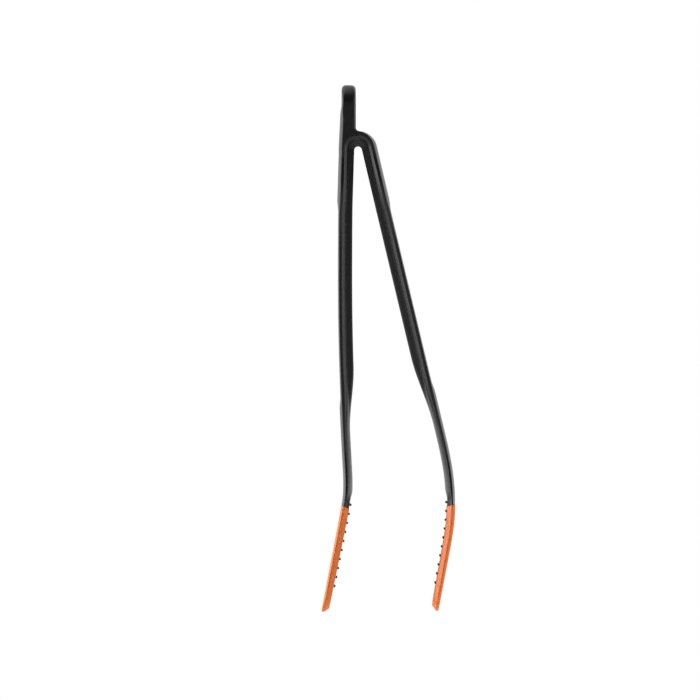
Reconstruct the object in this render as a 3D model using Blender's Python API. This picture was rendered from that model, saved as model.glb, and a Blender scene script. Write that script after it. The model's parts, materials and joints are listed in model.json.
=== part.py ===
"""Spring tongs: two arms, a U-bend that springs them apart, a hanging tab and silicone-edged heads.

Each arm is modelled flat and then laid along its own line. Flat points are (s, v, d) in millimetres:
s runs down the arm from the bend's centre, v runs across it, and d is the depth below its outer face.
"""

import math

import bmesh
import bpy
from mathutils import Matrix, Vector

MM = 0.001

# Driving dimensions, in millimetres and degrees. The origin is the centre of the hanging hole.
BEND_X, BEND_Z = 4.98, -25.5  # the U-bend's centre, which the arms turn about
SLOT_RADIUS = 2.1  # inside radius of the U-bend
GRIP_DEPTH = 7.9  # depth of an arm below its base line, from the bend to where it thins
LOWER_DEPTH = 4.5  # the same between there and the head
GRIP_SWELL = 0.62  # how far the outer face stands proud of the base line along the grip
LOWER_SWELL = 0.68  # and from the lower arm to the tip
SWELL_STEP = 7.0  # length over which a swell rises or falls
GRIP_CROWN, MID_CROWN, LOWER_CROWN = 1.5, 0.5, 1.2  # rise of the outer face's middle over its edges

GRIP_HALF = 13.0  # half widths across the arm
BEND_HALF = 11.0
MID_HALF = 10.5
HEAD_HALF = 19.0
WIDEN_START = -5.0  # the grip widens from here to the middle of its upper run
WAIST_RUN = 25.0  # and narrows until this far past that run's end
FLARE = 30.0  # length over which the arm widens to the head
FLARE_END = 6.0  # how far below the silicone's root that widening ends

EDGE_DEPTH = 1.9  # the strip's upright edge
SLOPE_DEPTH = 2.2  # the sloped shoulder from that edge to the rib
RIB_HALF = 4.2  # half width of the rib down the inner side
RIB_DRAFT = 0.5
RIB_FOOT_OUT, RIB_FOOT_DOWN = 0.4, 0.3  # the small slope at the rib's foot
SLOPE_POINTS = ((0.35, 0.3), (0.7, 0.62))  # the shoulder's points, as shares of its run and its depth
ROUND = 0.8  # rounding of the rib's and strip's corners
CORNER_CUT = 0.3  # a rounded corner's middle point stands this share of its radius inside the corner
SMOOTH_EDGE = 1.0  # the lower arm's edge, above the curve of its inner side
SMOOTH_ANGLES = (0, 14, 28, 42, 54, 66, 76, 84, 90)  # where that curve has its points
SMOOTH_POWER_V, SMOOTH_POWER_D = 0.8, 0.75  # how square that curve is

TAB_TOP = 10.2  # height of the tab above the hole's centre
TAB_FACE = 3.85  # the tab's upright inner face, along X
TAB_ROUND = 2.5  # rounding of the tab's top edges
TAB_FLAT = 0.2  # half the length of the short flat at the tab's top
TAB_SUNK = 5.0  # how far above the slot the tab's block ends, inside the arm
HOLE_RADIUS = 4.0
HOLE_SIDES = 32
CROWN_START = 12.0  # distance below the tab's top where the outer face starts to swell and to be crowned
SWELL_END = 16.0  # and where the swell there is full
TAB_RISE = TAB_TOP - BEND_Z  # the tab's top above the bend's centre
TAB_LEVEL = SLOT_RADIUS + GRIP_DEPTH + GRIP_SWELL  # the top of the U-bend, where the tab begins

HEAD_LENGTH = 59.0  # silicone edge, from its root to the tip
HEAD_DEPTH = 4.6  # depth of the silicone edge at its root
TIP_TAPER = 0.85  # its share of that depth at the tip
HEAD_CORNER = 9.0  # corner radius of the tip, seen from the front
PANEL_STEP = 0.6  # how far the nubbed panel lies below the silicone edge
PANEL_DEPTH = HEAD_DEPTH - PANEL_STEP
ROOT_SLANT = 1.4  # how much lower the silicone starts on the inner side
SHOULDER = 6.0  # length over which the arm steps down to the panel
SHOULDER_END = 3.0  # how far above the silicone's root that step ends
TONGUE_START = 1.0  # how far above the root the tongue starts, inside the arm
LIP_WIDTH, LIP_DEPTH = 4.0, 1.0  # the silicone's two lips
GROOVE_WALL = 1.8  # silicone outside the groove
BEVEL_RUN = 2.5  # run of the silicone's bevelled inner side
CORNER_TURNS = 6  # straight steps round each corner of the tip
SIDE_STEPS = 11

NUB_ROWS, NUB_COLUMNS = 10, 5
NUB_PITCH = 5.05
NUB_HEIGHT = 1.5
NUB_RADIUS = 0.75
NUB_FOOT_SHARE, NUB_TIP_SHARE = 1.15, 0.75  # of that radius
NUB_SUNK = 0.5
NUB_SIDES = 8
NUB_LEAD = 1.5  # distance of the first row above the silicone's root

GAP = 0.3  # clearance between pieces that touch
BEND_LANDING = 1.5  # how far the U-bend runs on down the moving arm
BEND_STEPS = 8
BEND_FACE = -8.0  # the level, along the fixed arm, where the bend meets its inner face
STATION = 7.0  # spacing of the sections along an arm
FLARE_STATION, ROOT_STATION = 4.0, 2.2  # the same where it widens, and at the step down to the panel
CUT_SPACING = 6.0  # spacing of the cuts across the tongue
CUT_COLUMNS = (-9.0, 0.0, 9.0)  # and the lines of its cuts along the arm
HARD_ANGLE = 35  # edges sharper than this stay sharp in the shading

NYLON = ((0.012, 0.012, 0.013), 0.45)  # colour and roughness
SILICONE = ((0.78, 0.17, 0.025), 0.55)

BEND_POINT = Vector((BEND_X, 0.0, BEND_Z)) * MM


def ramp(value, start, end):
    """0 before start, 1 after end, and smooth between them."""
    t = min(1.0, max(0.0, (value - start) / (end - start)))
    return t * t * (3 - 2 * t)


def mix(a, b, share):
    return a + (b - a) * share


class Arm:
    """One arm: its line in the XZ plane and the sizes that change along it.

    runs lists (length, heading at its end); headings are degrees from straight down, positive towards +X.
    outward is the side of the line that the outer face looks to, -1 or +1 along X.
    """

    def __init__(self, outward, heading, runs, grip_end, thin_start, thin_end, swell_start):
        self.outward = outward
        self.heading = heading
        self.runs = runs
        self.grip_end = grip_end
        self.thin_start, self.thin_end = thin_start, thin_end
        self.swell_start = swell_start
        self.length = sum(length for length, _ in runs)
        self.root = self.length - HEAD_LENGTH
        self.shoulder = self.root - SHOULDER - SHOULDER_END
        normal = self.normal(heading)
        reach = SLOT_RADIUS + GRIP_DEPTH
        self.start = (BEND_X + normal[0] * reach, BEND_Z + normal[1] * reach)

    def normal(self, heading):
        angle = math.radians(heading)
        return (self.outward * math.cos(angle), self.outward * math.sin(angle))

    def line(self, s):
        """Position and heading of the base line at s."""
        x, z = self.start
        heading = self.heading
        left = s
        runs = self.runs if s > 0 else [(s, self.heading)]
        for length, end in runs:
            part = min(left, length) if s > 0 else left
            reached = mix(heading, end, part / length) if length else heading
            middle = math.radians((heading + reached) / 2)
            x += part * math.sin(middle)
            z -= part * math.cos(middle)
            heading = reached
            left -= part
            if left <= 0:
                break
        return x, z, heading

    def swell(self, s):
        top = ramp(s, CROWN_START - TAB_RISE, SWELL_END - TAB_RISE) if self.outward < 0 else 1.0
        grip = GRIP_SWELL * top * (1 - ramp(s, self.grip_end, self.grip_end + SWELL_STEP))
        return grip + LOWER_SWELL * ramp(s, self.swell_start, self.swell_start + SWELL_STEP)

    def depth(self, s):
        """Full depth of the arm at s, from its outer face."""
        if self.outward < 0 and s < -TAB_LEVEL:
            x, _, heading = self.line(s)
            return self.swell(s) + (TAB_FACE - x) / math.cos(math.radians(heading))
        arm = mix(GRIP_DEPTH, LOWER_DEPTH, ramp(s, self.thin_start, self.thin_end)) + self.swell(s)
        return mix(arm, PANEL_DEPTH, ramp(s, self.shoulder, self.root - SHOULDER_END))

    def taper(self, s):
        return mix(1.0, TIP_TAPER, max(0.0, (s - self.root) / HEAD_LENGTH))

    def crown(self, s):
        if s < CROWN_START - TAB_RISE:
            return 0.0
        upper = mix(GRIP_CROWN, MID_CROWN, ramp(s, self.grip_end, self.grip_end + SWELL_STEP))
        top = ramp(s, CROWN_START - TAB_RISE, 0.0) if self.outward < 0 else 1.0
        return top * mix(upper, LOWER_CROWN, ramp(s, self.swell_start, self.swell_start + SWELL_STEP))

    def half(self, s):
        """Half width at s, without the tip's rounding."""
        grip = mix(BEND_HALF, GRIP_HALF, ramp(s, WIDEN_START, self.grip_end / 2))
        grip = mix(grip, MID_HALF, ramp(s, self.grip_end / 2, self.grip_end + WAIST_RUN))
        return mix(grip, HEAD_HALF, ramp(s, self.root - FLARE, self.root + FLARE_END))

    def place(self, s, v, d):
        """World position, in metres, of a flat point."""
        x, z, heading = self.line(s)
        normal = self.normal(heading)
        depth = d * self.taper(s)
        edge = min(1.0, abs(v) / self.half(s)) ** 2
        depth += self.crown(s) * edge * (1 - min(1.0, d / self.depth(s)))
        rise = self.swell(s) - depth
        return Vector((x + normal[0] * rise, v, z + normal[1] * rise)) * MM


FIXED = Arm(
    outward=-1,
    heading=-1.7,
    runs=[(27.5, -1.7), (7, -0.5), (36, 0.0), (59, 2.2), (47, 3.3), (10.5, -1.5), (7.5, -9.8),
          (14, -10.8), (46.6, -10.8)],
    grip_end=27.5, thin_start=119.5, thin_end=155.5, swell_start=135.5,
)
MOVING = Arm(
    outward=1,
    heading=13.2,
    runs=[(28.3, 13.2), (10, 13.4), (126.5, 13.4), (13, 10.6), (16, 3.4), (14, -3.4), (10, -9.4),
          (10, -10.8), (33.3, -10.8)],
    grip_end=30.0, thin_start=117.0, thin_end=157.0, swell_start=132.5,
)


# ------------------------------------------------------------------ sections


def ribbed_half(arm, s):
    """Half a section of the ribbed arm, from the outer face's middle to the rib's middle: [(v, d)]."""
    half, depth = arm.half(s), arm.depth(s)
    foot = EDGE_DEPTH + SLOPE_DEPTH
    side = RIB_HALF - RIB_DRAFT
    slope = [(mix(half, RIB_HALF, run), EDGE_DEPTH + down * SLOPE_DEPTH) for run, down in SLOPE_POINTS]
    return face_half(half) + [(half, EDGE_DEPTH)] + slope + [
        (RIB_HALF + RIB_FOOT_OUT, foot),
        (RIB_HALF, foot + RIB_FOOT_DOWN),
        (side, depth - ROUND),
        (side - CORNER_CUT * ROUND, depth - CORNER_CUT * ROUND),
        (side - ROUND, depth),
        (0.0, depth),
    ]


def face_half(half):
    """The outer face and its rounded corner, which every section starts with."""
    face = [(share * (half - ROUND), 0.0) for share in (0.0, 0.35, 0.7, 1.0)]
    return face + [(half - CORNER_CUT * ROUND, CORNER_CUT * ROUND), (half, ROUND)]


def smooth_half(arm, s):
    """Half a section of the lower arm, whose inner side is one convex curve."""
    half, below = arm.half(s), arm.depth(s) - SMOOTH_EDGE
    curve = []
    for angle in (math.radians(a) for a in SMOOTH_ANGLES):
        across, down = math.cos(angle) ** SMOOTH_POWER_V, math.sin(angle) ** SMOOTH_POWER_D
        curve.append((half * across, SMOOTH_EDGE + below * down))
    return face_half(half) + curve


def block_half(half, depth):
    """Half a section with a flat inner side and rounded corners, for the tab and the head's panel."""
    soft = min(2 * ROUND, 0.5 * half)
    side = [(half, mix(ROUND, depth - soft, share)) for share in (0.25, 0.5, 0.75, 1.0)]
    corner = [(half - CORNER_CUT * soft, depth - CORNER_CUT * soft)]
    inner = [(share * (half - soft), depth) for share in (1.0, 0.66, 0.33, 0.0)]
    return face_half(half) + side + corner + inner


def blend_half(a, b, share):
    return [(mix(p[0], q[0], share), mix(p[1], q[1], share)) for p, q in zip(a, b)]


def arm_half(arm, s):
    """Half a section anywhere between the bend and the head."""
    ribbed = ribbed_half(arm, s)
    smooth = blend_half(ribbed, smooth_half(arm, s), ramp(s, arm.thin_start, arm.thin_end + 8))
    panel = block_half(arm.half(s), arm.depth(s))
    return blend_half(smooth, panel, ramp(s, arm.shoulder, arm.root - 2))


def tab_half(s):
    """Half a section of the hanging tab, whose top is round about the hole."""
    above = -s - (TAB_RISE - TAB_TOP)
    half = BEND_HALF
    if above > 0:
        half = BEND_HALF * math.sqrt(max(TAB_FLAT ** 2, 1 - (above / (TAB_TOP + TAB_FLAT)) ** 2))
    return block_half(half, FIXED.depth(s))


# ------------------------------------------------------------------ meshes


def slanted(s, d):
    """Where the silicone's root stands at a depth: it starts lower on the inner side."""
    return s + ROOT_SLANT * (d / HEAD_DEPTH - 0.5)


def ring_of(arm, s, half_section, slant=False):
    """A closed ring of world points from half a section."""
    points = half_section + [(-v, d) for v, d in reversed(half_section[1:-1])]
    return [arm.place(slanted(s, d) if slant else s, v, d) for v, d in points]


def loft(rings):
    """A closed bmesh through rings of equal length, with a flat cap at each end."""
    mesh = bmesh.new()
    rows = [[mesh.verts.new(point) for point in ring] for ring in rings]
    for first, second in zip(rows, rows[1:]):
        for i in range(len(first)):
            j = (i + 1) % len(first)
            mesh.faces.new((first[i], first[j], second[j], second[i]))
    mesh.faces.new(rows[0])
    mesh.faces.new(rows[-1])
    bmesh.ops.recalc_face_normals(mesh, faces=mesh.faces)
    return mesh


def new_object(name, mesh, collection, origin=(0.0, 0.0, 0.0)):
    """An object from a bmesh in world metres, with its own origin."""
    data = bpy.data.meshes.new(name)
    bmesh.ops.translate(mesh, verts=mesh.verts, vec=-Vector(origin))
    mesh.to_mesh(data)
    mesh.free()
    data.shade_smooth()
    data.set_sharp_from_angle(angle=math.radians(HARD_ANGLE))
    made = bpy.data.objects.new(name, data)
    made.location = origin
    collection.objects.link(made)
    return made


def one_side(arm, inset, start):
    """One side of the head's outline as (s, v), inset by a distance, from start to the tip's straight end."""
    half = HEAD_HALF - inset
    corner = HEAD_CORNER - inset
    tip = arm.length - inset
    side = []
    for i in range(SIDE_STEPS):
        s = mix(start, tip - corner, i / SIDE_STEPS)
        side.append((s, arm.half(s) - inset))
    for i in range(CORNER_TURNS + 1):
        angle = math.radians(90 * i / CORNER_TURNS)
        side.append((tip - corner + corner * math.sin(angle), half - corner + corner * math.cos(angle)))
    return side


def outline(arm, inset, start):
    """The whole outline: down one side, across the tip and back up the other."""
    side = one_side(arm, inset, start)
    tip, corner_end = side[-1]
    across = [(tip, corner_end * share) for share in (0.5, 0.0, -0.5)]
    return side + across + [(s, -v) for s, v in reversed(side)]


def plate(arm, inset, start, top, bottom):
    """A flat plate with the head's outline, cut across so that it can follow the arm's line."""
    points = outline(arm, inset, start)
    mesh = bmesh.new()
    upper = [mesh.verts.new((s, v, top)) for s, v in points]
    lower = [mesh.verts.new((s, v, bottom)) for s, v in points]
    mesh.faces.new(upper)
    mesh.faces.new(list(reversed(lower)))
    for i in range(len(points)):
        j = (i + 1) % len(points)
        mesh.faces.new((upper[i], lower[i], lower[j], upper[j]))
    cut_across(mesh, start, arm.length)
    for vertex in mesh.verts:
        vertex.co = arm.place(*vertex.co)
    bmesh.ops.recalc_face_normals(mesh, faces=mesh.faces)
    return mesh


def cut_across(mesh, start, end):
    """Cuts a flat mesh along planes of constant s and v, so that bending it keeps it smooth."""
    count = int((end - start) / CUT_SPACING)
    cuts = [((start + CUT_SPACING * i, 0, 0), (1, 0, 0)) for i in range(1, count)]
    cuts += [((0, v, 0), (0, 1, 0)) for v in CUT_COLUMNS]
    for point, normal in cuts:
        everything = mesh.verts[:] + mesh.edges[:] + mesh.faces[:]
        bmesh.ops.bisect_plane(mesh, geom=everything, plane_co=point, plane_no=normal, dist=1e-5)


def silicone_edge(arm):
    """The silicone that wraps the head's edge: one grooved profile swept round the outline."""
    start = arm.root
    depth, lip, wall = HEAD_DEPTH, LIP_DEPTH, GROOVE_WALL
    profile = [
        (LIP_WIDTH, 0.0), (0.8, 0.0), (0.2, 0.25), (0.0, 0.8),
        (0.35, 0.45 * depth), (0.5 * BEVEL_RUN, 0.8 * depth), (BEVEL_RUN, depth), (LIP_WIDTH, depth),
        (LIP_WIDTH, depth - lip), (wall, depth - lip), (wall, lip), (LIP_WIDTH, lip),
    ]
    path = outline(arm, 0.0, start)
    rings = []
    for i, (s, v) in enumerate(path):
        before = Vector(path[max(0, i - 1)])
        after = Vector(path[min(len(path) - 1, i + 1)])
        along = (after - before).normalized()
        inward = Vector((along.y, -along.x))
        if i in (0, len(path) - 1):
            inward = Vector((0.0, -math.copysign(1.0, v)))
        at_root = i in (0, len(path) - 1)
        rings.append([
            arm.place(slanted(s, d) if at_root else s + inward.x * q, v + inward.y * q, d)
            for q, d in profile
        ])
    return loft(rings)


def nubs(arm):
    """All the nubs of one head, as separate tapered studs that start inside the panel."""
    mesh = bmesh.new()
    for row in range(NUB_ROWS):
        s = arm.root - NUB_LEAD + row * NUB_PITCH
        for column in range(NUB_COLUMNS):
            v = (column - (NUB_COLUMNS - 1) / 2) * NUB_PITCH
            foot = arm.place(s, v, PANEL_DEPTH - NUB_SUNK)
            tip = arm.place(s, v, PANEL_DEPTH + NUB_HEIGHT)
            axis = (tip - foot).normalized()
            turn = axis.to_track_quat("Z", "Y").to_matrix().to_4x4()
            matrix = Matrix.Translation((foot + tip) / 2) @ turn
            bmesh.ops.create_cone(
                mesh, cap_ends=True, segments=NUB_SIDES, depth=(tip - foot).length, matrix=matrix,
                radius1=NUB_RADIUS * NUB_FOOT_SHARE * MM, radius2=NUB_RADIUS * NUB_TIP_SHARE * MM,
            )
    return mesh


def spaced(start, end, spacing):
    count = max(1, round((end - start) / spacing))
    return [mix(start, end, i / count) for i in range(count + 1)]


def arm_rings(arm, start):
    """Rings of an arm from a start near the bend to the end of its panel, inside the silicone."""
    inset = LIP_WIDTH + GAP
    stations = spaced(start, arm.root - FLARE, STATION)
    stations += spaced(arm.root - FLARE, arm.shoulder, FLARE_STATION)[1:]
    stations += spaced(arm.shoulder, arm.root - 2.0, ROOT_STATION)[1:]
    rings = [ring_of(arm, s, arm_half(arm, s)) for s in stations]
    end = arm.root - GAP
    rings.append(ring_of(arm, end, arm_half(arm, end), slant=True))
    side = one_side(arm, inset, arm.root)
    rings.append(ring_of(arm, end + 0.02, block_half(side[0][1], PANEL_DEPTH), slant=True))
    rings += [ring_of(arm, s, block_half(v, PANEL_DEPTH)) for s, v in side[1:]]
    return rings


# ------------------------------------------------------------------ objects


def material(name, colour, roughness):
    made = bpy.data.materials.new(name)
    made.use_nodes = True
    shader = made.node_tree.nodes["Principled BSDF"]
    shader.inputs["Base Color"].default_value = (*colour, 1.0)
    shader.inputs["Roughness"].default_value = roughness
    shader.inputs["Metallic"].default_value = 0.0
    made.diffuse_color = (*colour, 1.0)
    return made


def collection(name):
    made = bpy.data.collections.new(name)
    bpy.context.scene.collection.children.link(made)
    return made


def helper(name, mesh, helpers):
    made = new_object(name, mesh, helpers)
    made.hide_render = True
    made.display_type = "WIRE"
    return made


def boolean(target, tool, operation):
    modifier = target.modifiers.new(tool.name, "BOOLEAN")
    modifier.operation = operation
    modifier.solver = "EXACT"
    modifier.object = tool


def add_head(arm, body, name, helpers):
    """Joins the tongue inside the silicone's groove, and the nubs, to an arm."""
    tongue = plate(
        arm, GROOVE_WALL + GAP, arm.root - TONGUE_START, LIP_DEPTH + GAP, HEAD_DEPTH - LIP_DEPTH - GAP
    )
    boolean(body, helper(name + "_tongue_tool", tongue, helpers), "UNION")
    boolean(body, helper(name + "_nubs_tool", nubs(arm), helpers), "UNION")


def hole_cutter(helpers):
    """A cylinder along X through the tab."""
    bpy.ops.mesh.primitive_cylinder_add(
        vertices=HOLE_SIDES, radius=HOLE_RADIUS * MM, depth=40 * MM, rotation=(0, math.pi / 2, 0)
    )
    made = bpy.context.object
    made.name = "hole_tool"
    for owner in list(made.users_collection):
        owner.objects.unlink(made)
    helpers.objects.link(made)
    made.hide_render = True
    made.display_type = "WIRE"
    return made


def fixed_arm(parts, helpers):
    top = -TAB_RISE
    rings = []
    for turn in (0, 22.5, 45, 67.5):
        below = TAB_ROUND * (1 - math.cos(math.radians(turn)))
        inset = TAB_ROUND * (1 - math.sin(math.radians(turn)))
        middle = FIXED.depth(top + below) / 2
        section = [
            (v * (1 - inset / BEND_HALF), mix(d, middle, inset / middle))
            for v, d in tab_half(top + below)
        ]
        rings.append(ring_of(FIXED, top + below, section))
    rings += [ring_of(FIXED, s, tab_half(s)) for s in spaced(top + TAB_ROUND, -TAB_LEVEL - 0.5, 3.0)]
    rings += [ring_of(FIXED, s, tab_half(s)) for s in (-TAB_LEVEL, -SLOT_RADIUS - TAB_SUNK)]
    rings += arm_rings(FIXED, -SLOT_RADIUS)
    body = new_object("fixed_arm", loft(rings), parts)
    add_head(FIXED, body, "fixed", helpers)
    boolean(body, hole_cutter(helpers), "DIFFERENCE")
    return body


def moving_arm(parts, helpers):
    body = new_object("moving_arm", loft(arm_rings(MOVING, BEND_LANDING + GAP)), parts, BEND_POINT)
    add_head(MOVING, body, "moving", helpers)
    return body


def spring_bend(parts):
    """The U-bend: the ribbed section swept round the slot, from the fixed arm's inner face."""
    depth = MOVING.depth(0.0)
    section = ribbed_half(MOVING, 0.0)
    turn = 90 - MOVING.heading
    rings = []
    face = FIXED.line(BEND_FACE)[0] + FIXED.depth(BEND_FACE) - FIXED.swell(BEND_FACE)
    angles = [90.0 - turn * i / BEND_STEPS for i in range(BEND_STEPS + 1)]
    rings.append(bend_ring(section, depth, 90.0, face + GAP - BEND_X, 0.0))
    rings += [bend_ring(section, depth, angle, 0.0, 0.0) for angle in angles]
    rings.append(bend_ring(section, depth, MOVING.heading, 0.0, BEND_LANDING))
    return new_object("spring_bend", loft(rings), parts, BEND_POINT)


def bend_ring(section, depth, angle, along_x, on):
    """One ring of the bend: the section on a ray from its centre, shifted along X and along the arm."""
    ray_x, ray_z = math.cos(math.radians(angle)), math.sin(math.radians(angle))
    points = section + [(-v, d) for v, d in reversed(section[1:-1])]
    ring = []
    for v, d in points:
        edge = min(1.0, abs(v) / BEND_HALF) ** 2
        reach = SLOT_RADIUS + depth - d - GRIP_CROWN * edge * (1 - d / depth)
        x = BEND_X + along_x + ray_x * reach + on * ray_z
        z = BEND_Z + ray_z * reach - on * ray_x
        ring.append(Vector((x, v, z)) * MM)
    return ring


def main():
    for old in list(bpy.data.objects):
        bpy.data.objects.remove(old)
    parts = collection("spring_tongs")
    helpers = collection("cutters")
    pieces = [
        (fixed_arm(parts, helpers), NYLON),
        (spring_bend(parts), NYLON),
        (moving_arm(parts, helpers), NYLON),
        (new_object("fixed_head_edge", silicone_edge(FIXED), parts), SILICONE),
        (new_object("moving_head_edge", silicone_edge(MOVING), parts, BEND_POINT), SILICONE),
    ]
    for piece, (colour, roughness) in pieces:
        piece.data.materials.append(material(piece.name, colour, roughness))


main()
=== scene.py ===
"""Looks of the spring tongs: one continuous nylon body, the nubs of its heads, and their silicone edges.

Flat points are (s, v, d) in millimetres, as in the CAD: s runs down an arm from the bend's centre,
v runs across it, and d is the depth below its outer face.
"""

import json
import math

import bmesh
import bpy
from mathutils import Matrix, Vector

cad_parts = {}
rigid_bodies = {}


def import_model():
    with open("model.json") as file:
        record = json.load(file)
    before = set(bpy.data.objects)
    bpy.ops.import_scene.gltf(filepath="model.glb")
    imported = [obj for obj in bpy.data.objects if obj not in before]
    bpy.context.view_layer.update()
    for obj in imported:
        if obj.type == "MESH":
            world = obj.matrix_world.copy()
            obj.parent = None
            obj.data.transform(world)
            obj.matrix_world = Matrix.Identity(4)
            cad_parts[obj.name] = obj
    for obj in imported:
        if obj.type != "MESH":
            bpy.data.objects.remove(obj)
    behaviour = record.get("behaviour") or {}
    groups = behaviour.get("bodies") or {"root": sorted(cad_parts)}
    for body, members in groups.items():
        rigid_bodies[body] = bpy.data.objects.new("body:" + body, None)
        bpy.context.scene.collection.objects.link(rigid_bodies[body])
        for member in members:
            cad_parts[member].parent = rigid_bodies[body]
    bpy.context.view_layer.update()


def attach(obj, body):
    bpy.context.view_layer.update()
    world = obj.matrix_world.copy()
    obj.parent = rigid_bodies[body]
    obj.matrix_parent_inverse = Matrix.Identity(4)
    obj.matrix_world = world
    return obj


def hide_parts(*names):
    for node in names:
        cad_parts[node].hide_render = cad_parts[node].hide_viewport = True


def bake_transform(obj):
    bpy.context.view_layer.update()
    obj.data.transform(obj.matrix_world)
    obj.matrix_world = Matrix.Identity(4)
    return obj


MM = 0.001

# Sizes that the CAD has too, in millimetres and degrees.
BEND_X, BEND_Z = 4.98, -25.5
SLOT_RADIUS = 2.1
GRIP_DEPTH, LOWER_DEPTH = 7.9, 4.5
GRIP_SWELL, LOWER_SWELL, SWELL_STEP = 0.62, 0.68, 7.0
GRIP_CROWN, MID_CROWN, LOWER_CROWN = 1.5, 0.5, 1.2
BEND_HALF, GRIP_HALF, MID_HALF, HEAD_HALF = 11.0, 13.0, 10.5, 19.0
FLARE, FLARE_END = 30.0, 6.0  # the arm widens to the head from FLARE above its root to this far below
WIDEN_SHARE = 0.7  # the grip widens over this share of its straight run
WAIST_RUN = 25.0  # and narrows until this far past that run's end
SWELL_LEVELS = (11.5, 15.5)  # between these, below the tab's top, the outer face makes its first step out
FIRST_SWELL = 0.55  # that step's share of the grip's swell
TAB_TOP, TAB_FACE = 10.2, 3.85
HOLE_RADIUS = 4.0
HEAD_LENGTH, HEAD_DEPTH, TIP_TAPER, HEAD_CORNER = 59.0, 4.6, 0.85, 9.0
PANEL_STEP, ROOT_SLANT, SHOULDER = 0.6, 1.4, 6.0
SHOULDER_END = 3.0  # how far above the head's root the step down to the panel ends
LIP_WIDTH, BEVEL_RUN = 4.0, 2.5
NUB_ROWS, NUB_COLUMNS, NUB_PITCH = 10, 5, 5.05
NUB_HEIGHT, NUB_RADIUS, NUB_LEAD = 1.5, 0.62, 1.5

# Sizes of the finer shape.
RIB_HALF, RIB_DRAFT = 4.4, 0.5
EDGE_BAND = 1.75  # the strip's upright edge, below the crown
CHAMFER = 1.7  # the sloped face below that edge
SLOPE_BAND = 2.05  # from that edge to the rib's foot
CORNER = 0.5  # rounding along the strip's edges
FOOT_ROUND = 0.3
RIB_ROUND = 1.0
CROWN_FADE = (110, 150)  # degrees round the bend between which the crown grows back
TOP_CROWN = 0.45  # crown of the outer face where the bend meets the tab
TAB_EDGE = 0.02  # the tab's sides stand this much outside the bend's
TAB_PROUD = 0.06  # and its outer face this much outside the arm's, until the two cross
TAB_END = 4.0  # where the tab's block ends, inside the arm
TAB_CORE = 7.8  # the tab's block reaches down to this radius about the bend's centre
TAB_FILLET = 2.0
TOP_ROUND = 2.4  # rounding of the tab's top edges
FACE_ROUND = 1.7  # rounding of the upright edges of the tab's inner face
HOLE_ROUND = 0.9
HOLE_SIDES = 72
TAB_CROWN = 0.8  # crown of the tab's outer face, at its top
ROOT_STEP = 0.25  # how far the nylon stands below the silicone at its root
PANEL_INSET = 3.0  # the nylon panel ends this far inside the head's outline, under the silicone
SEAM = 0.12  # open seam between the nylon and the silicone's root
PANEL_TOP = 0.35  # how far the panel lies below the silicone on the outer side
STATION = 1.5
CORNER_TURNS = 16
BEND_STEPS = 44

VIEW_CENTRE = (0.55, -135.3)  # the middle of the view, X and Z
FRAME_WIDTH = 385.0  # the view's width at the object
CAMERA_DISTANCE = 6000.0
SENSOR = 36.0
FLOOR_SIZE, FLOOR_LEVEL = 6.0, -0.40  # in metres
FLOOR_FADE = (0.2, 0.5)  # radii between which the floor turns white
SOFTBOXES = (  # name, position and size in metres, power in watts
    ("left_softbox", (-1.4, -0.25, 0.05), (1.1, 1.6), 30.0),
    ("right_softbox", (1.4, -0.3, 0.05), (1.1, 1.6), 13.0),
    ("top_softbox", (-0.5, 0.0, 1.2), (1.2, 1.2), 5.0),
)


def ramp(value, start, end):
    """0 before start, 1 after end, and smooth between them."""
    t = min(1.0, max(0.0, (value - start) / (end - start)))
    return t * t * (3 - 2 * t)


def mix(a, b, share):
    return a + (b - a) * share


TAB_RISE = TAB_TOP - BEND_Z
TAB_LEVEL = SLOT_RADIUS + GRIP_DEPTH + GRIP_SWELL


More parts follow.
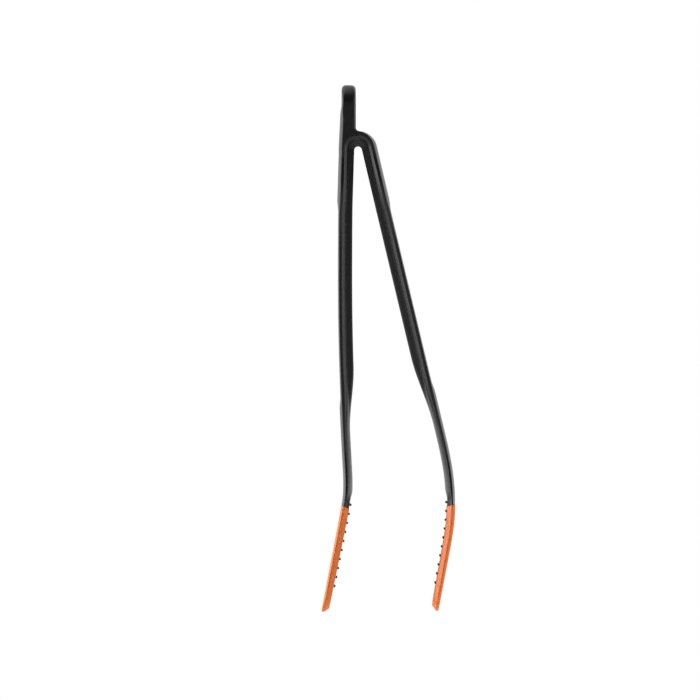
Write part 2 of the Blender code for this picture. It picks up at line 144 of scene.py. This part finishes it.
class Arm:
    """One arm: its line in the XZ plane and the sizes that change along it, as in the CAD."""

    def __init__(self, outward, heading, runs, grip_end, thin_start, thin_end, swell_start):
        self.outward = outward
        self.heading = heading
        self.runs = runs
        self.grip_end = grip_end
        self.thin_start, self.thin_end = thin_start, thin_end
        self.swell_start = swell_start
        self.length = sum(length for length, _ in runs)
        self.root = self.length - HEAD_LENGTH
        normal = self.normal(heading)
        reach = SLOT_RADIUS + GRIP_DEPTH
        self.start = (BEND_X + normal[0] * reach, BEND_Z + normal[1] * reach)

    def normal(self, heading):
        angle = math.radians(heading)
        return (self.outward * math.cos(angle), self.outward * math.sin(angle))

    def line(self, s):
        """Position and heading of the base line at s."""
        x, z = self.start
        heading = self.heading
        left = s
        runs = self.runs if s > 0 else [(s, self.heading)]
        for length, end in runs:
            part = min(left, length) if s > 0 else left
            reached = mix(heading, end, part / length) if length else heading
            middle = math.radians((heading + reached) / 2)
            x += part * math.sin(middle)
            z -= part * math.cos(middle)
            heading = reached
            left -= part
            if left <= 0:
                break
        return x, z, heading

    def swell(self, s):
        top = 1.0
        if self.outward < 0:
            first, second = SWELL_LEVELS[0] - TAB_RISE, SWELL_LEVELS[1] - TAB_RISE
            top = FIRST_SWELL * ramp(s, first, second) + (1 - FIRST_SWELL) * ramp(s, second, 0.0)
        grip = GRIP_SWELL * top * (1 - ramp(s, self.grip_end, self.grip_end + SWELL_STEP))
        return grip + LOWER_SWELL * ramp(s, self.swell_start, self.swell_start + SWELL_STEP)

    def depth(self, s):
        """Full depth of the arm at s, from its outer face."""
        arm = mix(GRIP_DEPTH, LOWER_DEPTH, ramp(s, self.thin_start, self.thin_end)) + self.swell(s)
        step = ramp(s, self.root - SHOULDER - SHOULDER_END, self.root - SHOULDER_END)
        return mix(arm, HEAD_DEPTH - ROOT_STEP, step)

    def taper(self, s):
        return mix(1.0, TIP_TAPER, max(0.0, (s - self.root) / HEAD_LENGTH))

    def crown(self, s):
        upper = mix(GRIP_CROWN, MID_CROWN, ramp(s, self.grip_end, self.grip_end + SWELL_STEP))
        return mix(upper, LOWER_CROWN, ramp(s, self.swell_start, self.swell_start + SWELL_STEP))

    def half(self, s):
        """Half width at s, without the tip's rounding."""
        grip = mix(BEND_HALF, GRIP_HALF, ramp(s, TAB_END, self.grip_end * WIDEN_SHARE))
        grip = mix(grip, MID_HALF, ramp(s, self.grip_end * WIDEN_SHARE, self.grip_end + WAIST_RUN))
        return mix(grip, HEAD_HALF, ramp(s, self.root - FLARE, self.root + FLARE_END))

    def place(self, s, v, d):
        """World position, in metres, of a flat point whose depth already holds the crown."""
        x, z, heading = self.line(s)
        normal = self.normal(heading)
        rise = self.swell(s) - d * self.taper(s)
        return Vector((x + normal[0] * rise, v, z + normal[1] * rise)) * MM


FIXED = Arm(
    outward=-1,
    heading=-1.7,
    runs=[(27.5, -1.7), (7, -0.5), (36, 0.0), (59, 2.2), (47, 3.3), (10.5, -1.5), (7.5, -9.8),
          (14, -10.8), (46.6, -10.8)],
    grip_end=27.5, thin_start=119.5, thin_end=155.5, swell_start=135.5,
)
MOVING = Arm(
    outward=1,
    heading=13.2,
    runs=[(28.3, 13.2), (10, 13.4), (126.5, 13.4), (13, 10.6), (16, 3.4), (14, -3.4), (10, -9.4),
          (10, -10.8), (33.3, -10.8)],
    grip_end=30.0, thin_start=117.0, thin_end=157.0, swell_start=132.5,
)


# ------------------------------------------------------------------ sections


def crowned(half, crown, end, count):
    """The outer face from its middle to v = end, as (v, d)."""
    return [(end * i / count, crown * (end * i / count / half) ** 2) for i in range(count)]


def rounded(corners, between, turns=4):
    """A path through corners (v, d, radius), each rounded, with some points on the straights between them."""
    cut = []
    for i, (v, d, radius) in enumerate(corners):
        here = Vector((v, d))
        if i in (0, len(corners) - 1):
            cut.append([here])
            continue
        before = Vector(corners[i - 1][:2]) - here
        after = Vector(corners[i + 1][:2]) - here
        a = here + before.normalized() * min(radius, before.length * 0.49)
        b = here + after.normalized() * min(radius, after.length * 0.49)
        shares = [j / turns for j in range(turns + 1)]
        cut.append([a * (1 - t) ** 2 + here * 2 * t * (1 - t) + b * t * t for t in shares])
    path = []
    for group, following, count in zip(cut, cut[1:], between):
        path += group
        path += [group[-1].lerp(following[0], (j + 1) / (count + 1)) for j in range(count)]
    path += cut[-1]
    return [(point.x, point.y) for point in path]


CROWN_POINTS = 9
BETWEEN = (0, 2, 2, 4, 4, 3)


def ribbed_half(half, depth, crown, strip):
    """Half a section of the ribbed arm, from the outer face's middle to the rib's middle: [(v, d)]."""
    inner = half - 2 * CORNER
    foot = strip + SLOPE_BAND
    corners = [
        (inner, crown * (inner / half) ** 2, 0),
        (half, crown, CORNER),
        (half - 0.1, strip, CORNER),
        (half - CHAMFER, strip + CHAMFER, 0.4),
        (RIB_HALF + 0.1, foot, FOOT_ROUND),
        (RIB_HALF - RIB_DRAFT, depth, RIB_ROUND),
        (0.0, depth, 0),
    ]
    return crowned(half, crown, inner, CROWN_POINTS) + rounded(corners, BETWEEN)


def smooth_half(half, depth, crown):
    """Half a section of the lower arm, whose inner side is one convex curve."""
    inner = half - 2 * CORNER
    strip = crown + 0.35 * (depth - crown)
    corners = [
        (inner, crown * (inner / half) ** 2, 0),
        (half, crown, CORNER),
        (half, strip, CORNER),
        (0.86 * half, mix(strip, depth, 0.36), 1.5),
        (0.62 * half, mix(strip, depth, 0.74), 2.5),
        (0.3 * half, mix(strip, depth, 0.97), 2.0),
        (0.0, depth, 0),
    ]
    return crowned(half, crown, inner, CROWN_POINTS) + rounded(corners, BETWEEN)


def panel_half(half, depth, crown, bevel=0.0):
    """Half a section of the head's panel, flat on both sides, with a bevel along its inner edge."""
    soft = min(CORNER, 0.3 * half)
    inner = half - 2 * soft
    corners = [
        (inner, crown * (inner / half) ** 2, 0),
        (half, crown, soft),
        (half, mix(crown, depth, 0.25), 0.3),
        (half - 0.3 * bevel, mix(crown, depth, 0.5), 0.5),
        (half - bevel, depth, soft),
        (0.5 * half, depth, 0.1),
        (0.0, depth, 0),
    ]
    return crowned(half, crown, inner, CROWN_POINTS) + rounded(corners, BETWEEN)


def blend_half(a, b, share):
    return [(mix(p[0], q[0], share), mix(p[1], q[1], share)) for p, q in zip(a, b)]


def arm_half(arm, s):
    """Half a section anywhere between the bend and the head."""
    half, depth, crown = arm.half(s), arm.depth(s), arm.crown(s)
    section = ribbed_half(half, depth, crown, crown + EDGE_BAND)
    thin = ramp(s, arm.thin_start, arm.thin_end + 8)
    if thin > 0:
        section = blend_half(section, smooth_half(half, depth, crown), thin)
    root = ramp(s, arm.root - SHOULDER - SHOULDER_END, arm.root - 2)
    if root > 0:
        section = blend_half(section, panel_half(half, depth, crown, BEVEL_RUN), root)
    return section


def whole(half_section):
    """A closed section from half of one."""
    return half_section + [(-v, d) for v, d in reversed(half_section[1:-1])]


# ------------------------------------------------------------------ meshes


def spaced(start, end, spacing):
    count = max(1, round((end - start) / spacing))
    return [mix(start, end, i / count) for i in range(count + 1)]


def slanted(s, d):
    """Where the silicone's root stands at a depth: it starts lower on the inner side."""
    return s + ROOT_SLANT * (d / HEAD_DEPTH - 0.5)


def arm_ring(arm, s, half_section, slant=False):
    return [arm.place(slanted(s, d) if slant else s, v, d) for v, d in whole(half_section)]


def bend_ring(angle):
    """The ribbed section standing on a ray from the bend's centre, at an angle from +X."""
    far = ramp(angle, *CROWN_FADE)
    near = 1 - ramp(angle, MOVING.heading, 90)
    crown = mix(TOP_CROWN, GRIP_CROWN, max(far, near))
    depth = GRIP_DEPTH + GRIP_SWELL
    strip = mix(GRIP_CROWN + EDGE_BAND, GRIP_CROWN + EDGE_BAND - 0.15, math.sin(math.radians(angle)))
    ray = Vector((math.cos(math.radians(angle)), 0.0, math.sin(math.radians(angle))))
    centre = Vector((BEND_X, 0.0, BEND_Z))
    ring = []
    for v, d in whole(ribbed_half(BEND_HALF, depth, crown, strip)):
        ring.append((centre + ray * (SLOT_RADIUS + depth - d) + Vector((0.0, v, 0.0))) * MM)
    return ring


def loft(rings, closed_start=True):
    """A closed bmesh through rings of equal length. The last is capped, and the first if closed_start."""
    mesh = bmesh.new()
    rows = [[mesh.verts.new(point) for point in ring] for ring in rings]
    for first, second in zip(rows, rows[1:]):
        for i in range(len(first)):
            j = (i + 1) % len(first)
            mesh.faces.new((first[i], first[j], second[j], second[i]))
    if closed_start:
        mesh.faces.new(rows[0])
    mesh.faces.new(rows[-1])
    bmesh.ops.remove_doubles(mesh, verts=mesh.verts, dist=1e-7)
    bmesh.ops.recalc_face_normals(mesh, faces=mesh.faces)
    return mesh


def one_side(arm, inset, start):
    """One side of the head's outline as (s, v), inset by a distance, from start to the tip's straight end."""
    half = HEAD_HALF - inset
    corner = HEAD_CORNER - inset
    tip = arm.length - inset
    side = [(s, arm.half(s) - inset) for s in spaced(start, tip - corner, STATION)[:-1]]
    for i in range(CORNER_TURNS + 1):
        angle = math.radians(90 * i / CORNER_TURNS)
        side.append((tip - corner + corner * math.sin(angle), half - corner + corner * math.cos(angle)))
    return side


def head_rings(arm):
    """Rings of the nylon from the arm's root to the end of the panel, which lies inside the silicone."""
    depth = HEAD_DEPTH - PANEL_STEP
    rings = [arm_ring(arm, arm.root, arm_half(arm, arm.root), slant=True)]
    for i, (s, v) in enumerate(one_side(arm, PANEL_INSET, arm.root)):
        section = [(w, max(PANEL_TOP, d)) for w, d in panel_half(v, depth, PANEL_TOP)]
        rings.append(arm_ring(arm, s + 0.01 if i == 0 else s, section, slant=i == 0))
    return rings


def arm_rings(arm):
    """Rings down an arm, from the bend to the end of its head's panel."""
    stations = spaced(0.0, arm.root - SHOULDER - SHOULDER_END, STATION)
    stations += spaced(arm.root - SHOULDER - SHOULDER_END, arm.root - 1.5, STATION / 2)[1:]
    return [arm_ring(arm, s, arm_half(arm, s)) for s in stations] + head_rings(arm)


def body_mesh():
    """The whole moulding but the tab: down the fixed arm, round the slot and down the moving arm."""
    first, last = 180 + FIXED.heading, MOVING.heading
    bend = [bend_ring(mix(first, last, i / BEND_STEPS)) for i in range(1, BEND_STEPS)]
    return loft(list(reversed(arm_rings(FIXED))) + bend + arm_rings(MOVING))


# ------------------------------------------------------------------ tab


def tab_depth(s):
    """Depth of the tab's block at s: to its inner face, then down the fillet and along the bend's core."""
    x, _, heading = FIXED.line(s)
    face = FIXED.swell(s) + (TAB_FACE - x) / math.cos(math.radians(heading))
    height = -TAB_LEVEL + 0.25 - s
    if height > 0:
        rest = TAB_FILLET - min(TAB_FILLET, height)
        return face + TAB_FILLET - math.sqrt(TAB_FILLET ** 2 - rest ** 2)
    core = SLOT_RADIUS + GRIP_DEPTH + FIXED.swell(s)
    if s < -TAB_CORE:
        return face + TAB_FILLET
    return core - math.sqrt(max(0.0, TAB_CORE ** 2 - min(0.0, s) ** 2))


def tab_ring(s, v, out_s, out_v, top):
    """A section of the tab through the outline point (s, v), whose outline faces (out_s, out_v)."""
    proud = TAB_PROUD * min(1.0, (TAB_END / 2 - s) / (TAB_END / 2)) if s > 0 else TAB_PROUD
    depth = tab_depth(s)
    crown = mix(TAB_CROWN, GRIP_CROWN, ramp(s, -TAB_RISE + 12, -TAB_RISE + 20))
    outer_round = mix(CORNER, TOP_ROUND, top)
    inner_round = mix(FACE_ROUND, TOP_ROUND, top) if s < -TAB_LEVEL else 0.3
    edge = crown * (1 - top)
    turns = 6
    side = []
    for i in range(turns + 1):
        turn = math.radians(90 * i / turns)
        side.append((outer_round * (1 - math.sin(turn)), edge + outer_round * (1 - math.cos(turn))))
    for i in range(1, 6):
        side.append((0.0, mix(edge + outer_round, depth - inner_round, i / 6)))
    for i in range(turns + 1):
        turn = math.radians(90 * i / turns)
        side.append((inner_round * (1 - math.cos(turn)), depth - inner_round * (1 - math.sin(turn))))
    points = [(s - out_s * inset, max(0.0, v - out_v * inset), d) for inset, d in side]
    columns = 10
    first, last = points[0], points[-1]
    outer = []
    for i in range(columns):
        share = i / columns
        outer.append((first[0], first[1] * share, first[2] - edge * (1 - share ** 2)))
    inner = [(last[0], last[1] * (1 - (i + 1) / columns), last[2]) for i in range(columns)]
    half = outer + points + inner
    ring = half + [(a, -b, c) for a, b, c in reversed(half[1:-1])]
    return [FIXED.place(a, b, c - proud) for a, b, c in ring]


def tab_mesh():
    """The hanging tab, down to where its block ends inside the fixed arm."""
    hole = -(TAB_RISE - TAB_TOP)
    half = BEND_HALF + TAB_EDGE
    rings = []
    turns = 26
    for i in range(turns + 1):
        angle = math.radians(90 * i / turns)
        s = hole - TAB_TOP * math.cos(angle)
        facing = Vector((-math.cos(angle) / TAB_TOP, math.sin(angle) / half)).normalized()
        rings.append(tab_ring(s, half * math.sin(angle), facing.x, facing.y, 1 - ramp(i / turns, 0.3, 1.0)))
    stations = spaced(hole, -TAB_LEVEL - TAB_FILLET, 1.5)[1:]
    stations += spaced(-TAB_LEVEL - TAB_FILLET, -TAB_LEVEL + 0.24, 0.22)[1:]
    stations += spaced(-TAB_LEVEL + 0.5, -TAB_CORE - 0.05, 0.6)
    stations += [-TAB_CORE * math.cos(math.radians(a)) for a in range(4, 88, 7)]
    stations += spaced(0.0, TAB_END, 1.0)
    rings += [tab_ring(s, half, 0.0, 1.0, 0.0) for s in stations]
    return loft(rings, closed_start=False)


def hole_mesh():
    """The hanging hole along X, flared at both faces, as a turned cutter."""
    outer = FIXED.place(-(TAB_RISE - TAB_TOP), 0.0, 0.25).x / MM
    faces = (outer, TAB_FACE)
    far = 8.0
    profile = [(faces[0] - far, HOLE_RADIUS + far)]
    turns = 6
    for i in range(turns + 1):
        turn = math.radians(90 * i / turns)
        flare = HOLE_ROUND * (1 - math.sin(turn))
        profile.append((faces[0] + HOLE_ROUND * (1 - math.cos(turn)), HOLE_RADIUS + flare))
    for i in range(turns + 1):
        turn = math.radians(90 * (turns - i) / turns)
        flare = HOLE_ROUND * (1 - math.sin(turn))
        profile.append((faces[1] - HOLE_ROUND * (1 - math.cos(turn)), HOLE_RADIUS + flare))
    profile.append((faces[1] + far, HOLE_RADIUS + far))
    rings = []
    for x, radius in profile:
        ring = []
        for i in range(HOLE_SIDES):
            turn = 2 * math.pi * i / HOLE_SIDES
            ring.append(Vector((x, radius * math.cos(turn), radius * math.sin(turn))) * MM)
        rings.append(ring)
    return loft(rings)


# ------------------------------------------------------------------ heads


def outline(arm, inset, start):
    """The head's whole outline: down one side, across the tip and back up the other."""
    side = one_side(arm, inset, start)
    tip, corner_end = side[-1]
    across = [(tip, corner_end * (1 - i / 6)) for i in range(1, 12)]
    return side + across + [(s, -v) for s, v in reversed(side)]


def silicone_profile(tip):
    """The silicone's section round the head's edge as (q, d): q runs inwards from the edge.

    tip is 0 along the sides, where a groove parts the outer band from the bevel, and 1 across the tip,
    where the outer corner is sharp.
    """
    depth = HEAD_DEPTH
    corners = [
        (LIP_WIDTH + 0.5, 0.9, 0),
        (LIP_WIDTH, 0.0, 0.3),
        (mix(1.2, 0.3, tip), 0.0, 0.5),
        (0.0, mix(1.05, 0.35, tip), 0.4),
        (mix(0.42, 0.15, tip), 1.5, 0.12),
        (mix(0.08, 0.3, tip), 1.85, 0.3),
        (mix(0.6, 1.0, tip), 0.6 * depth, 1.0),
        (mix(2.1, BEVEL_RUN, tip), depth, 0.6),
        (LIP_WIDTH, depth, 0.3),
        (LIP_WIDTH + 0.5, depth - 1.0, 0),
    ]
    return rounded(corners, (1, 3, 2, 0, 0, 1, 3, 2, 1))


def silicone_mesh(arm):
    start = arm.root + SEAM
    path = outline(arm, 0.0, start)
    last = len(path) - 1
    rings = []
    for i, (s, v) in enumerate(path):
        before = Vector(path[max(0, i - 1)])
        after = Vector(path[min(last, i + 1)])
        along = (after - before).normalized()
        inward = Vector((along.y, -along.x))
        if i in (0, last):
            inward = Vector((0.0, -math.copysign(1.0, v)))
        near = 1 - ramp(s, start, start + 4)
        ring = []
        for q, d in silicone_profile(abs(inward.x)):
            at = s + inward.x * q
            at = mix(at, slanted(at, d), near)
            ring.append(arm.place(at, v + inward.y * q, d))
        rings.append(ring)
    return loft(rings)


def nub_mesh(arm):
    """All the nubs of one head: tapered studs with round tips, each with a small fillet at its foot."""
    panel = HEAD_DEPTH - PANEL_STEP
    profile = [(1.3, -0.3), (1.3, 0.0), (1.12, 0.06), (1.0, 0.2), (0.94, 0.6)]
    for i in range(5):
        turn = math.radians(90 * i / 4)
        profile.append((0.86 * math.cos(turn) if i < 4 else 0.0, NUB_HEIGHT - 0.4 + 0.4 * math.sin(turn)))
    segments = 16
    mesh = bmesh.new()
    for row in range(NUB_ROWS):
        s = arm.root - NUB_LEAD + row * NUB_PITCH
        for column in range(NUB_COLUMNS):
            v = (column - (NUB_COLUMNS - 1) / 2) * NUB_PITCH
            foot = arm.place(s, v, panel / arm.taper(s) if row == 0 else panel)
            axis = (arm.place(s, v, panel + 1.0) - arm.place(s, v, panel)).normalized()
            turned = axis.to_track_quat("Z", "Y").to_matrix().to_4x4()
            add_turned(mesh, profile, segments, Matrix.Translation(foot) @ turned)
    bmesh.ops.recalc_face_normals(mesh, faces=mesh.faces)
    return mesh


def add_turned(mesh, profile, segments, matrix):
    """Adds a turned stud: profile is (share of the nub's radius, height), ending on its axis."""
    rows = []
    for share, height in profile[:-1]:
        radius = share * NUB_RADIUS
        row = []
        for i in range(segments):
            turn = 2 * math.pi * i / segments
            point = Vector((radius * math.cos(turn), radius * math.sin(turn), height)) * MM
            row.append(mesh.verts.new(matrix @ point))
        rows.append(row)
    tip = mesh.verts.new(matrix @ (Vector((0.0, 0.0, profile[-1][1])) * MM))
    for first, second in zip(rows, rows[1:]):
        for i in range(segments):
            j = (i + 1) % segments
            mesh.faces.new((first[i], first[j], second[j], second[i]))
    for i in range(segments):
        mesh.faces.new((rows[-1][i], rows[-1][(i + 1) % segments], tip))
    mesh.faces.new(list(reversed(rows[0])))


# ------------------------------------------------------------------ materials


def shader_of(name, colour, roughness):
    material = bpy.data.materials.new(name)
    material.use_nodes = True
    material.diffuse_color = (*colour, 1.0)
    shader = material.node_tree.nodes["Principled BSDF"]
    shader.inputs["Base Color"].default_value = (*colour, 1.0)
    shader.inputs["Roughness"].default_value = roughness
    return material, shader


def noise(tree, coordinates, scale, detail=3.0, roughness=0.55):
    node = tree.nodes.new("ShaderNodeTexNoise")
    node.inputs["Scale"].default_value = scale
    node.inputs["Detail"].default_value = detail
    node.inputs["Roughness"].default_value = roughness
    tree.links.new(coordinates, node.inputs["Vector"])
    return node.outputs["Fac"]


def ranged(tree, value, low, high, to_low, to_high):
    node = tree.nodes.new("ShaderNodeMapRange")
    for name, number in (("From Min", low), ("From Max", high), ("To Min", to_low), ("To Max", to_high)):
        node.inputs[name].default_value = number
    tree.links.new(value, node.inputs["Value"])
    return node.outputs["Result"]


def coloured(tree, value, dark, light):
    node = tree.nodes.new("ShaderNodeMix")
    node.data_type = "RGBA"
    node.inputs[6].default_value = (*dark, 1.0)
    node.inputs[7].default_value = (*light, 1.0)
    tree.links.new(value, node.inputs["Factor"])
    return node.outputs[2]


def bumped(tree, height, strength, distance, before=None):
    node = tree.nodes.new("ShaderNodeBump")
    node.inputs["Strength"].default_value = strength
    node.inputs["Distance"].default_value = distance
    tree.links.new(height, node.inputs["Height"])
    if before is not None:
        tree.links.new(before, node.inputs["Normal"])
    return node.outputs["Normal"]


def nylon():
    """Black glass-filled nylon: a fine spark-eroded grain, faint flow marks and an uneven gloss."""
    material, shader = shader_of("nylon", (0.004, 0.004, 0.0044), 0.38)
    tree = material.node_tree
    place = tree.nodes.new("ShaderNodeTexCoord").outputs["Object"]
    grain = noise(tree, place, 2600.0, 2.0)
    flow = noise(tree, place, 45.0, 4.0)
    smudge = noise(tree, place, 130.0, 5.0, 0.65)
    cloud = ranged(tree, flow, 0.3, 0.7, 0.0, 1.0)
    colour = coloured(tree, cloud, (0.0032, 0.0032, 0.0035), (0.0052, 0.0052, 0.0056))
    tree.links.new(colour, shader.inputs["Base Color"])
    tree.links.new(ranged(tree, smudge, 0.3, 0.7, 0.35, 0.41), shader.inputs["Roughness"])
    rough = bumped(tree, grain, 0.22, 0.00006)
    tree.links.new(bumped(tree, flow, 0.06, 0.0004, rough), shader.inputs["Normal"])
    shader.inputs["Specular IOR Level"].default_value = 0.5
    return material


def silicone():
    """Matte orange silicone: a soft bloom and a fine matte grain."""
    material, shader = shader_of("silicone", (0.87, 0.185, 0.011), 0.42)
    tree = material.node_tree
    place = tree.nodes.new("ShaderNodeTexCoord").outputs["Object"]
    grain = noise(tree, place, 1900.0, 2.0)
    cloud = noise(tree, place, 90.0, 4.0)
    tree.links.new(
        coloured(tree, ranged(tree, cloud, 0.3, 0.7, 0.0, 1.0), (0.85, 0.175, 0.009), (0.9, 0.197, 0.014)),
        shader.inputs["Base Color"],
    )
    tree.links.new(ranged(tree, cloud, 0.3, 0.7, 0.35, 0.45), shader.inputs["Roughness"])
    tree.links.new(bumped(tree, grain, 0.07, 0.00005), shader.inputs["Normal"])
    shader.inputs["Sheen Weight"].default_value = 0.06
    shader.inputs["Sheen Roughness"].default_value = 0.5
    return material


# ------------------------------------------------------------------ objects


def new_object(name, mesh, material=None):
    data = bpy.data.meshes.new(name)
    mesh.to_mesh(data)
    mesh.free()
    data.shade_smooth()
    made = bpy.data.objects.new(name, data)
    bpy.context.scene.collection.objects.link(made)
    if material is not None:
        data.materials.append(material)
    return made


def boolean(target, tool, operation):
    """Applies a Boolean to a mesh and removes the tool."""
    modifier = target.modifiers.new(tool.name, "BOOLEAN")
    modifier.operation = operation
    modifier.solver = "EXACT"
    modifier.object = tool
    depsgraph = bpy.context.evaluated_depsgraph_get()
    result = bpy.data.meshes.new_from_object(target.evaluated_get(depsgraph))
    target.modifiers.clear()
    old = target.data
    target.data = result
    bpy.data.meshes.remove(old)
    bpy.data.objects.remove(tool)


def crisp(piece, degrees):
    """Keeps hard edges hard, and flat faces flat."""
    piece.data.set_sharp_from_angle(angle=math.radians(degrees))
    weighted = piece.modifiers.new("weighted", "WEIGHTED_NORMAL")
    weighted.keep_sharp = True


def build_body(finish):
    body = new_object("nylon_body", body_mesh(), finish)
    boolean(body, new_object("tab_tool", tab_mesh()), "UNION")
    boolean(body, new_object("hole_tool", hole_mesh()), "DIFFERENCE")
    crisp(body, 30)
    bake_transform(body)
    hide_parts("fixed_arm", "spring_bend", "moving_arm")


def build_head(name, arm, nylon_finish, silicone_finish):
    nubs = new_object(f"{name}_nubs", nub_mesh(arm), nylon_finish)
    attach(nubs, name)
    edge = new_object(f"{name}_silicone_edge", silicone_mesh(arm), silicone_finish)
    crisp(edge, 40)
    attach(edge, name)
    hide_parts(f"{name}_head_edge")


# ------------------------------------------------------------------ studio


def ray_kinds(tree):
    """Two outputs: 1 for camera and transmission rays, and 1 for glossy rays."""
    path = tree.nodes.new("ShaderNodeLightPath")
    either = tree.nodes.new("ShaderNodeMath")
    either.operation = "MAXIMUM"
    tree.links.new(path.outputs["Is Camera Ray"], either.inputs[0])
    tree.links.new(path.outputs["Is Transmission Ray"], either.inputs[1])
    return either.outputs[0], path.outputs["Is Glossy Ray"]


def studio_world():
    """White to the camera. The room is a white wall behind the object and a dim one in front of it."""
    world = bpy.data.worlds.new("studio")
    bpy.context.scene.world = world
    world.use_nodes = True
    tree = world.node_tree
    tree.nodes.clear()
    direction = tree.nodes.new("ShaderNodeTexCoord").outputs["Generated"]
    split = tree.nodes.new("ShaderNodeSeparateXYZ")
    tree.links.new(direction, split.inputs[0])
    room = tree.nodes.new("ShaderNodeBackground")
    tree.links.new(ranged(tree, split.outputs["Y"], -0.3, 0.8, 0.02, 1.0), room.inputs["Strength"])
    white = tree.nodes.new("ShaderNodeBackground")
    for node in (room, white):
        node.inputs["Color"].default_value = (1.0, 1.0, 1.0, 1.0)
    direct, _ = ray_kinds(tree)
    choose = tree.nodes.new("ShaderNodeMixShader")
    tree.links.new(direct, choose.inputs["Fac"])
    tree.links.new(room.outputs[0], choose.inputs[1])
    tree.links.new(white.outputs[0], choose.inputs[2])
    output = tree.nodes.new("ShaderNodeOutputWorld")
    tree.links.new(choose.outputs[0], output.inputs["Surface"])


def softbox(name, position, size, power):
    light = bpy.data.lights.new(name, "AREA")
    light.shape = "RECTANGLE"
    light.size, light.size_y = size
    light.energy = power
    made = bpy.data.objects.new(name, light)
    made.location = position
    aim = Vector((0.0, 0.0, VIEW_CENTRE[1] * MM)) - Vector(position)
    made.rotation_mode = "QUATERNION"
    made.rotation_quaternion = aim.to_track_quat("-Z", "Y")
    bpy.context.scene.collection.objects.link(made)


def floor():
    """A plain pale floor that fades to the white background away from the object, clear from underneath."""
    bpy.ops.mesh.primitive_plane_add(size=FLOOR_SIZE, location=(0.0, 0.0, FLOOR_LEVEL))
    made = bpy.context.object
    made.name = "floor"
    material, shader = shader_of("floor", (0.88, 0.88, 0.88), 0.8)
    tree = material.node_tree
    place = tree.nodes.new("ShaderNodeTexCoord").outputs["Object"]
    length = tree.nodes.new("ShaderNodeVectorMath")
    length.operation = "LENGTH"
    tree.links.new(place, length.inputs[0])
    far = ranged(tree, length.outputs["Value"], *FLOOR_FADE, 0.0, 1.0)
    direct, glossy = ray_kinds(tree)
    shown = tree.nodes.new("ShaderNodeMath")
    shown.operation = "MAXIMUM"
    tree.links.new(direct, shown.inputs[0])
    tree.links.new(glossy, shown.inputs[1])
    share = tree.nodes.new("ShaderNodeMath")
    share.operation = "MULTIPLY"
    tree.links.new(far, share.inputs[0])
    tree.links.new(shown.outputs[0], share.inputs[1])
    white = tree.nodes.new("ShaderNodeEmission")
    choose = tree.nodes.new("ShaderNodeMixShader")
    tree.links.new(share.outputs[0], choose.inputs["Fac"])
    tree.links.new(shader.outputs[0], choose.inputs[1])
    tree.links.new(white.outputs[0], choose.inputs[2])
    under = tree.nodes.new("ShaderNodeMixShader")
    tree.links.new(tree.nodes.new("ShaderNodeNewGeometry").outputs["Backfacing"], under.inputs["Fac"])
    tree.links.new(choose.outputs[0], under.inputs[1])
    tree.links.new(tree.nodes.new("ShaderNodeBsdfTransparent").outputs[0], under.inputs[2])
    tree.links.new(under.outputs[0], tree.nodes["Material Output"].inputs["Surface"])
    made.data.materials.append(material)


def camera():
    data = bpy.data.cameras.new("camera")
    data.sensor_width = SENSOR
    data.lens = SENSOR * CAMERA_DISTANCE / FRAME_WIDTH
    made = bpy.data.objects.new("camera", data)
    made.location = Vector((VIEW_CENTRE[0], -CAMERA_DISTANCE, VIEW_CENTRE[1])) * MM
    made.rotation_euler = (math.pi / 2, 0.0, 0.0)
    bpy.context.scene.collection.objects.link(made)
    bpy.context.scene.camera = made


def main():
    for old in list(bpy.data.objects):
        bpy.data.objects.remove(old)
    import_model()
    nylon_finish, silicone_finish = nylon(), silicone()
    build_body(nylon_finish)
    build_head("fixed", FIXED, nylon_finish, silicone_finish)
    build_head("moving", MOVING, nylon_finish, silicone_finish)
    floor()
    studio_world()
    for box in SOFTBOXES:
        softbox(*box)
    camera()
    bpy.context.scene.view_settings.view_transform = "Standard"


main()
